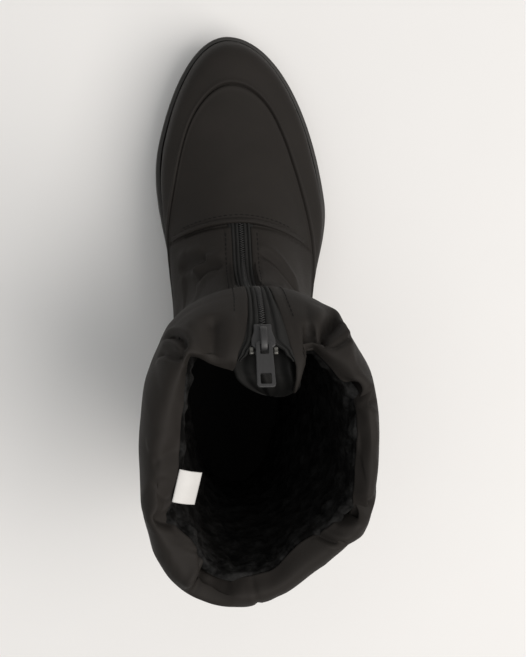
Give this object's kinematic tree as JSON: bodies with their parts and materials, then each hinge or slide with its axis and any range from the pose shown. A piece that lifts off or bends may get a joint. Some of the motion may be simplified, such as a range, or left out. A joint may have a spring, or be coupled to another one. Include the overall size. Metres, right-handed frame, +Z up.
{
  "type": "winter boot",
  "caption": "Padded nylon winter boot for the right foot, with a front zip, a soft rolled collar, a warm pile lining and a cup sole with tread bars.",
  "frame": {"origin": "on the floor, under the middle of the boot's overall length and width", "axes": "+X to the outer side of the foot, +Y to the toe, +Z up"},
  "size_m": [0.1183, 0.2951, 0.2453],
  "materials": {
    "sole_rubber": "matte",
    "padded_nylon": "soft sheen",
    "insole_felt": "matte",
    "zip_coil": "satin",
    "zip_tape": "matte",
    "zip_lacquer": "satin",
    "label_satin": "satin"
  },
  "bodies": {
    "boot": {"outsole": "sole_rubber", "insole": "insole_felt", "upper": "padded_nylon", "vamp_edge": "padded_nylon", "zip_tape_medial": "zip_tape", "zip_tape_lateral": "zip_tape", "zip_chain": "zip_coil", "zip_slider": "zip_lacquer", "zip_top_stop_medial": "zip_lacquer", "zip_top_stop_lateral": "zip_lacquer", "zip_gusset": "padded_nylon", "label": "label_satin"},
    "pull_tab": {"zip_pull_tab": "zip_lacquer"}
  },
  "joints": [
    {"name": "pull_tab_swing", "type": "hinge", "parent": "boot", "child": "pull_tab", "pos_m": [-0.00245, -0.02142, 0.23266], "axis": [-1, 0, 0], "range_deg": [0, 130]}
  ]
}
